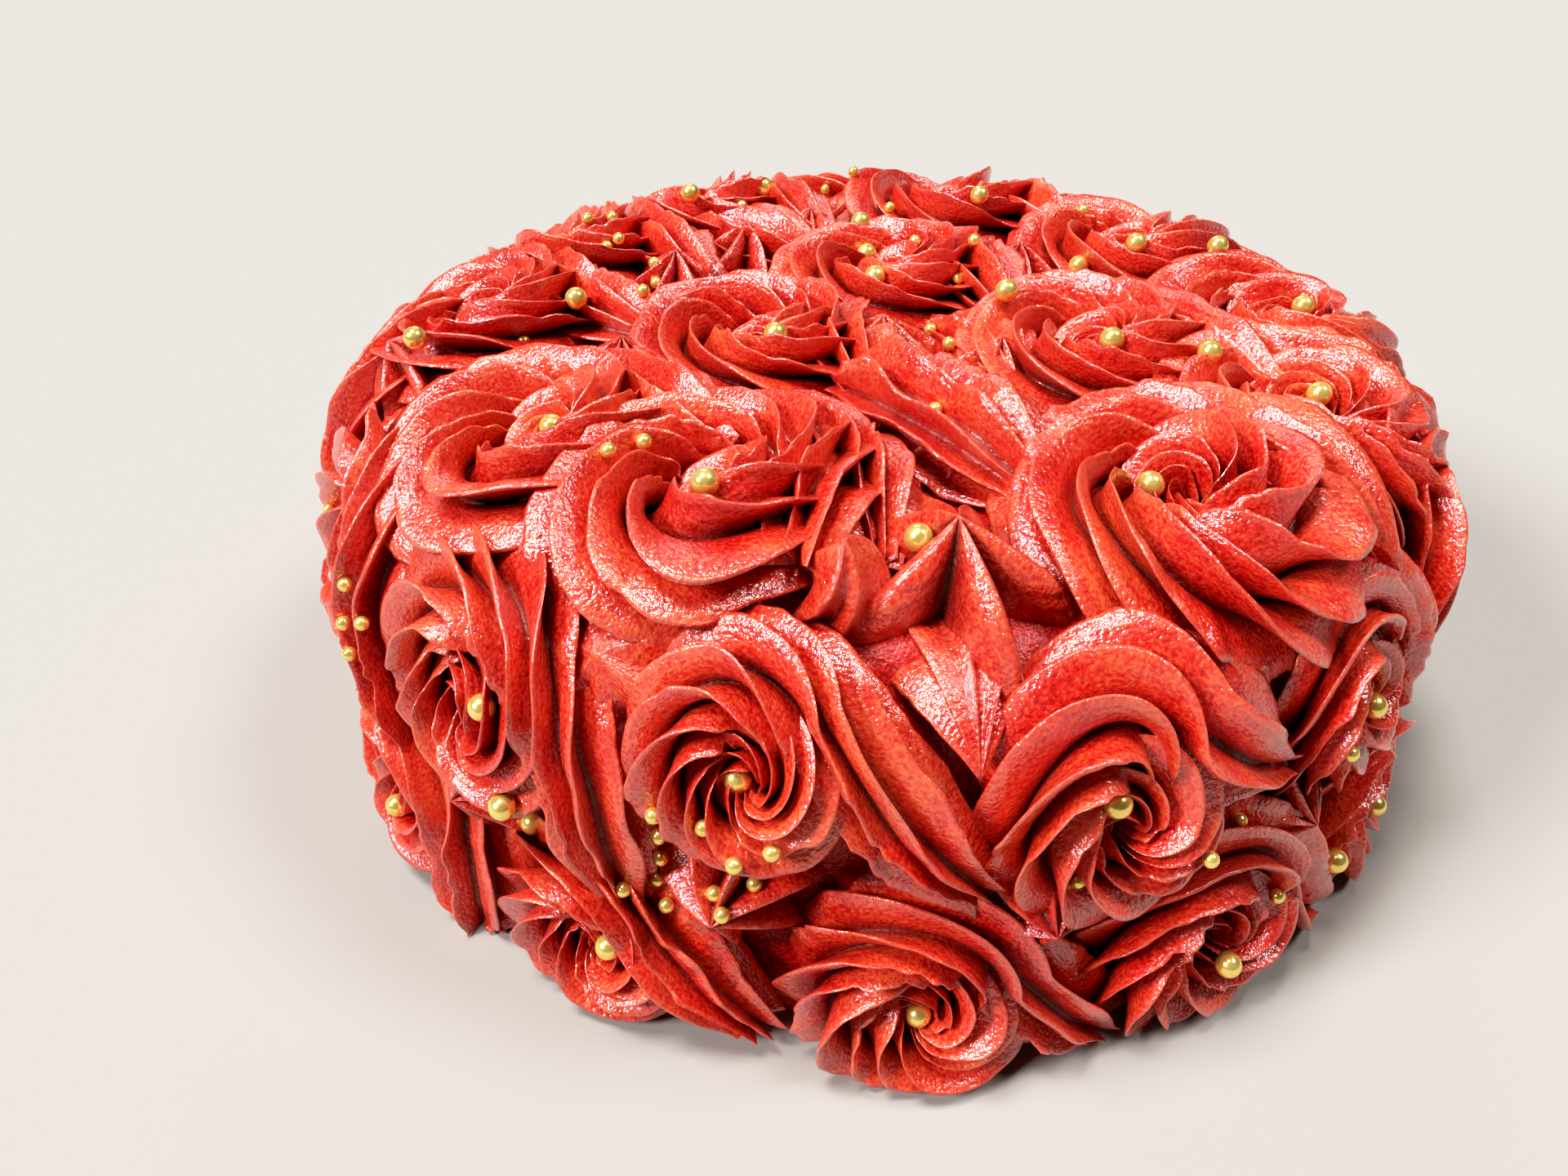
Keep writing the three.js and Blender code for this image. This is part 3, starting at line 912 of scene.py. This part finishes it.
# Each star's centre on the top, and its shape
STARS = [
    ((5.5, -79), dict(lobes=FRONT_LOBES, tall=14.5, twist=0.1, groove=0.22)),
    ((5.5, -87), dict(lobes=DROOP_LOBES, tall=8, twist=0.2, groove=0.45, lean=(2.5, -18))),
    ((-10.5, -82), dict(lobes=KNOB_LOBES, tall=15, start=20, twist=1.8, groove=0.65, drawn=ROUNDED)),
    ((0, -6), dict(lobes=WIDE_LOBES, tall=13, start=40)),
    ((-90, -6), dict(tall=14, start=10)),
    ((-50, -14), dict(tall=12, start=70)),
    ((-43, 29), dict(tall=13, start=20)),
    ((-13, 57), dict(tall=13, start=50)),
    ((33, 34), dict(tall=13)),
    ((12, -40), dict(tall=10, start=30)),
    ((-45, -86), dict(tall=8, start=25, groove=0.6, drawn=ROUNDED)),
    ((-28, 50), dict(lobes=WIDE_LOBES, tall=12, start=15)),
    ((2, 84), dict(lobes=WIDE_LOBES, tall=12)),
    ((22, -14), dict(tall=12, start=60)),
]
STAR_SEED = 500
WALL_STAR_HEIGHT = 36.0
WALL_STAR_SHIFT = -4.0
WALL_STAR_TALL = 12.0
WALL_STAR_SEED = 700


def dollop(lay, tall, seed, lobes=PLAIN_LOBES, start=0.0, twist=0.5, groove=0.3, drawn=POINTED,
           lean=(0.0, 0.0)):
    """A star-shaped dollop as a closed tube, laid on the coat by a rule.

    From its foot to its tip each lobe draws in as 1 - share to a power, high for a rounded dollop. It
    twists by the share and leans by the share squared."""
    share = np.linspace(0, 1, DOLLOP_ROWS, endpoint=False)[:, None]
    turns, lengths = np.array(lobes, float).T
    angle, height, ridge = star_section(np.radians(turns + start), LOBE_ROUNDING, LOBE_SCOOP)
    tear = DOLLOP_TEAR * by_ridge(share, ridge, 1 / TEARS_UP, seed)
    waver = DOLLOP_WAVER * by_ridge(share, ridge, 1 / WAVERS_UP, seed + 1)
    core = groove * lengths.mean()
    reach = core + (lengths[ridge] - core) * height * (1 + tear + waver)
    reach = reach * (1 - share ** drawn)
    turned = angle + twist * share
    flat_x = reach * np.cos(turned) + lean[0] * share ** 2
    flat_y = reach * np.sin(turned) + lean[1] * share ** 2
    flat_z = DOLLOP_FOOT + (tall - DOLLOP_FOOT) * share + 0 * reach
    rings = lay(np.stack([flat_x, flat_y, flat_z], -1))
    foot = lay(np.array([0.0, 0.0, DOLLOP_FOOT]))
    tip = lay(np.array([lean[0], lean[1], tall]))
    return tube(rings, foot, tip, groove + (1 - groove) * height + 0 * reach)


star_tubes = []
for number, (star_centre, star_shape) in enumerate(STARS):
    lay_star = partial(lay_on_top, centre=star_centre)
    star_tubes.append(dollop(lay_star, seed=STAR_SEED + SEED_STEP * number, **star_shape))
add_piping("star_fillers", star_tubes)

wall_star_tubes = []
for star_place in range(ROSES_PER_ROW):
    star_azimuth = wall_azimuth(UPPER_FIRST + WALL_STAR_SHIFT, star_place)
    lay_star = partial(lay_on_wall, height=WALL_STAR_HEIGHT, azimuth=star_azimuth)
    star_seed = WALL_STAR_SEED + SEED_STEP * star_place
    star_start = 360 * spread_share(star_place)
    wall_star_tubes.append(dollop(lay_star, WALL_STAR_TALL, star_seed, start=star_start))
add_piping("wall_stars", wall_star_tubes)

# %% [markdown]
# Other gaps hold a short rope, laid in one stroke. The longest two lie behind the star in front, with
# their ridges side by side. The hand is in full flow there, so the grooves have begun to fill.

# %% Rope fillers
ROPE_STEPS = 90
ROPE_SWELL = 12.0
ROPE_TAPER = 14.0
ROPE_START_SHARE = 0.40
ROPE_END_SHARE = 0.35
ROPE_END_SINK = 2.5
ROPE_BEGUN = 90.0
ROPE_SEED = 700
# Begin, end, bend, radius, raised, start
ROPES = [
    ((-9, -24), (22, -58), 2, 12.0, 3.0, 0.2),
    ((-27, -33), (-4, -74), 8, 8.5, 2.0, 1.2),
    ((-46, 62), (-8, 44), 3, 10.0, 0.0, 0.5),
    ((10, 8), (30, -22), 2, 9.0, 0.0, 0.4),
]


def short_rope(begin, end, bend, radius, raised, start, seed):
    """A short rope between two places, bowed to one side by bend x sin(pi share), thin at both ends."""
    share = np.linspace(0, 1, ROPE_STEPS)
    begin = np.asarray(begin, float)
    step = np.asarray(end, float) - begin
    side = np.array([-step[1], step[0]]) / np.hypot(*step)
    route = begin + share[:, None] * step + bend * np.sin(math.pi * share)[:, None] * side
    x = route[:, 0]
    y = route[:, 1]
    length = route_length(x, y)
    begun = smooth_step(length, 0, ROPE_SWELL)
    ending = 1 - smooth_step(length[-1] - length, 0, ROPE_TAPER)
    swell = (ROPE_START_SHARE + (1 - ROPE_START_SHARE) * begun) * (1 - (1 - ROPE_END_SHARE) * ending)
    lift = ROPE_LIFT + raised - ROPE_END_SINK * ending
    return pipe_rope(x, y, radius * swell, lift, FINGER_LENGTH * ending, start, seed, begun=ROPE_BEGUN)


rope_tubes = []
for number, rope_settings in enumerate(ROPES):
    rope_flat, rope_lip = short_rope(*rope_settings, ROPE_SEED + SEED_STEP * number)
    rope_tubes.append(rope_tube(lay_on_top(rope_flat, (0, 0)), rope_lip))
add_piping("rope_fillers", rope_tubes)

# %% [markdown]
# The sugar pearls are coated with gold lustre: mostly metal, with a fine grain that varies its tint
# and its gloss.

# %% Gold
GOLD_SHADES = ((0.3, (0.95, 0.66, 0.17, 1)), (0.7, (1.0, 0.80, 0.28, 1)))
GOLD_NOISE = (900.0, 2.0)
GOLD_GLOSS = (0.3, 0.7, 0.16, 0.28)
GOLD_METAL = 0.7


def gold_sugar():
    """Gold lustre: a metal whose tint and gloss follow one fine noise."""
    material, tree, shader = new_material("gold_lustre")
    place = tree.nodes.new("ShaderNodeTexCoord").outputs["Object"]
    grain = noise_of(tree, place, *GOLD_NOISE)
    feed(tree, shader, {
        "Base Color": ramp_of(tree, grain, GOLD_SHADES),
        "Roughness": range_of(tree, grain, *GOLD_GLOSS),
        "Metallic": GOLD_METAL,
    })
    return material


gold = gold_sugar()
print("material:", gold.name)

# %% [markdown]
# There is a large pearl in most hearts, and small ones are scattered. Those that the photograph shows
# are found by looking: a line from the camera through the pearl's pixel meets the icing where the
# pearl lies, and it leans back along the line, so that it stays in sight. On the far side each heart
# gets its pearl, and a few more are dropped by a rule, along a line square to the coat.

# %% Where a line meets the icing
FAR_OFF = 40.0
PICTURE_MIDDLE = (PHOTO_WIDTH / 2, PHOTO_HEIGHT / 2)

bpy.context.view_layer.update()
depsgraph = bpy.context.evaluated_depsgraph_get()
icing_trees = [BVHTree.FromObject(piece, depsgraph) for piece in icing_pieces]


def first_hit(origin, direction):
    """Where a line first meets the icing, the way to rest there and its distance, or nothing.

    The way to rest is halfway between the face's normal and the way back along the line."""
    nearest = None
    for tree in icing_trees:
        place, normal, _, distance = tree.ray_cast(origin, direction)
        if place is not None and (nearest is None or distance < nearest[2]):
            rest = (normal - direction).normalized()
            nearest = (np.array(place) / MM, np.array(rest), distance)
    return nearest


def seen_through(pixel):
    """The line from the camera through a pixel: its offset from the middle over the focal length."""
    right = (pixel[0] - PICTURE_MIDDLE[0]) / FOCAL_PIXELS
    up = (PICTURE_MIDDLE[1] - pixel[1]) / FOCAL_PIXELS
    direction = Vector((right, up, -1)).normalized()
    direction.rotate(CAMERA_TURN)
    return first_hit(CAMERA_PLACE * MM, direction)


def dropped_at(along, azimuth):
    """The line from outside, square to the coat."""
    far = Vector(over_coat(along, azimuth, FAR_OFF)) * MM
    near = Vector(over_coat(along, azimuth, 0.0)) * MM
    return first_hit(far, (near - far).normalized())


print("icing seen in the middle of the picture:", seen_through(PICTURE_MIDDLE)[0].round(1))

# %% Pearls
LARGE_RADIUS = 2.25
LARGE_SIDES = (18, 11)
SMALL_RADIUS = 1.35
SMALL_SIDES = (12, 7)
PEARL_SINK = 0.25
LARGE_PIXELS = [
    (868, 590), (1402, 595), (675, 520), (952, 408), (1365, 415), (1615, 480), (511, 408),
    (708, 370), (1230, 360), (1075, 338), (1060, 308), (1055, 275), (940, 230), (848, 237),
    (1200, 237), (1393, 298), (1325, 322), (1490, 307), (1597, 375), (1478, 427), (1130, 657),
    (587, 865), (620, 987), (650, 1007), (487, 988), (911, 952), (1368, 990), (740, 1158),
    (1120, 1245), (1500, 1185), (1635, 1053), (1680, 992), (1680, 870),
]
SMALL_PIXELS = [
    (742, 553), (787, 540), (640, 415), (803, 320), (803, 345), (787, 358), (720, 268),
    (748, 265), (757, 290), (743, 300), (908, 250), (1012, 230), (1045, 213), (1088, 257),
    (1122, 297), (1195, 296), (1172, 337), (1325, 258), (1142, 402), (1165, 420), (1148, 500),
    (1075, 520), (800, 995), (806, 1022), (806, 1048), (806, 1075), (818, 1107), (767, 1087),
    (858, 1014), (898, 1060), (945, 1046), (925, 1085), (872, 1094), (880, 1118), (1315, 1078),
    (1480, 1052), (1515, 1003), (1565, 1095), (1655, 922), (1745, 830), (405, 622), (422, 713),
    (420, 762), (440, 762), (427, 800),
]
FAR_PLACES = range(3, 11)
FAR_SMALL = 22
FAR_START = 75.0
FAR_SWEEP = 210.0
FAR_LOW = 20.0
FAR_TALL = 54.0


def pearl(hit, radius, columns, rows):
    """A ball that rests on a place, pressed in a little: rings at even angles from pole to pole."""
    place, rest, _ = hit
    centre = place + rest * radius * (1 - PEARL_SINK)
    polar = np.linspace(0, math.pi, rows + 2)[1:-1, None]
    turn = np.linspace(0, 2 * math.pi, columns, endpoint=False)[None, :]
    width = np.sin(polar)
    rings = np.stack([width * np.cos(turn), width * np.sin(turn), np.cos(polar) + 0 * turn], -1)
    pole = np.array([0, 0, radius])
    return tube(centre + radius * rings, centre + pole, centre - pole)


def far_small(number):
    """A small pearl on the far side: even spreads round the cake and up the wall."""
    azimuth = math.radians(FAR_START + FAR_SWEEP * spread_share(number))
    return dropped_at(along_at_height(FAR_LOW + FAR_TALL * spread_share(number * number)), azimuth)


large_hits = [seen_through(pixel) for pixel in LARGE_PIXELS]
for heart_height, first_heart, _ in WALL_ROWS.values():
    for heart_place in FAR_PLACES:
        heart_azimuth = wall_azimuth(first_heart, heart_place)
        large_hits.append(dropped_at(along_at_height(heart_height), heart_azimuth))
small_hits = [seen_through(pixel) for pixel in SMALL_PIXELS]
small_hits += [far_small(number) for number in range(1, FAR_SMALL + 1)]
large_pearls = [pearl(hit, LARGE_RADIUS, *LARGE_SIDES) for hit in large_hits if hit is not None]
small_pearls = [pearl(hit, SMALL_RADIUS, *SMALL_SIDES) for hit in small_hits if hit is not None]
make_piece("large_pearls", large_pearls, gold)
make_piece("small_pearls", small_pearls, gold)

# %% [markdown]
# The stage is a plain pale floor in soft studio light: a key light from above, a fill from the front
# left, a weaker light from the right and a faint one from behind. Area lights would fall off across
# the floor, so each is a sun that looks as wide as a soft box. A dim sky keeps the shadows open, and
# past the floor's edge the view meets a pale backdrop.

# %% Floor and light
FLOOR_HALF = 4.0
FLOOR_COLOUR = (0.37, 0.355, 0.33, 1)
FLOOR_ROUGHNESS = 0.6
FLOOR_GLOSS = 0.0
SKY_COLOUR = (0.92, 0.94, 1.0, 1)
SKY_STRENGTH = 0.08
BACKDROP_COLOUR = (1.0, 0.98, 0.96, 1)
BACKDROP_STRENGTH = 1.1
# Each light's place, width in degrees, strength and colour
LIGHTS = {
    "key": ((-0.28, -0.06, 1.0), 17.0, 5.0, (1.0, 0.98, 0.95)),
    "right": ((0.50, -0.05, 0.85), 17.0, 2.5, (1.0, 0.98, 0.96)),
    "fill": ((-0.82, -0.41, 0.67), 17.0, 5.8, (1.0, 0.95, 0.98)),
    "back": ((-0.10, 0.90, 0.60), 25.0, 0.6, (0.95, 0.97, 1.0)),
}


def pale_floor():
    """A flat pale square under the cake."""
    mesh = bpy.data.meshes.new("floor")
    corners = [(x * FLOOR_HALF, y * FLOOR_HALF, 0) for x, y in ((-1, -1), (1, -1), (1, 1), (-1, 1))]
    mesh.from_pydata(corners, [], [(0, 1, 2, 3)])
    material, tree, shader = new_material("pale_floor")
    feed(tree, shader, {
        "Base Color": FLOOR_COLOUR,
        "Roughness": FLOOR_ROUGHNESS,
        "Specular IOR Level": FLOOR_GLOSS,
    })
    mesh.materials.append(material)
    floor = new_object("floor", mesh)
    return floor


def soft_light(name, place, width, strength, colour):
    """A far light, as even as a sun, that comes from a place and looks as wide as an angle."""
    data = bpy.data.lights.new(name, "SUN")
    data.angle = math.radians(width)
    data.energy = strength
    data.color = colour
    light = new_object(name, data)
    light.rotation_euler = (-Vector(place)).to_track_quat("-Z", "Y").to_euler()
    return light


def studio_sky():
    """A dim sky that lights the shadows, and a pale backdrop where the view passes the floor's edge."""
    world = bpy.data.worlds.new("sky")
    world.use_nodes = True
    tree = world.node_tree
    dim = tree.nodes["Background"]
    feed(tree, dim, {"Color": SKY_COLOUR, "Strength": SKY_STRENGTH})
    pale = tree.nodes.new("ShaderNodeBackground")
    feed(tree, pale, {"Color": BACKDROP_COLOUR, "Strength": BACKDROP_STRENGTH})
    viewed = tree.nodes.new("ShaderNodeLightPath").outputs["Is Camera Ray"]
    choice = tree.nodes.new("ShaderNodeMixShader")
    # The two shaders of a mix share one title, so they are fed by their places, 1 and 2.
    feed(tree, choice, {"Fac": viewed, 1: dim.outputs["Background"], 2: pale.outputs["Background"]})
    feed(tree, tree.nodes["World Output"], {"Surface": choice.outputs["Shader"]})
    return world


pale_floor()
lights = [soft_light(name, *settings) for name, settings in LIGHTS.items()]
bpy.context.scene.world = studio_sky()
print("lights:", [light.name for light in lights])

# %% [markdown]
# The picture's tones are bright and rich at once. A gamma below 1 deepens the middle tones, a small
# black level keeps the grooves dark, and a shoulder lets the highlights fade softly into white.

# %% Tones
BLACK_LEVEL = 0.006
WHITE_LEVEL = 1.8
SHOULDER = ((0.25, 0.40), (0.50, 0.70), (0.75, 0.90))
VIEW_GAMMA = 0.75
ALL_COLOURS_CURVE = 3

view = bpy.context.scene.view_settings
view.view_transform = "Standard"
view.gamma = VIEW_GAMMA
view.use_curve_mapping = True
view.curve_mapping.black_level = [BLACK_LEVEL] * 3
view.curve_mapping.white_level = [WHITE_LEVEL] * 3
tone_curve = view.curve_mapping.curves[ALL_COLOURS_CURVE]
for brightness, shown in SHOULDER:
    tone_curve.points.new(brightness, shown)
view.curve_mapping.update()
print("points on the tone curve:", len(tone_curve.points))
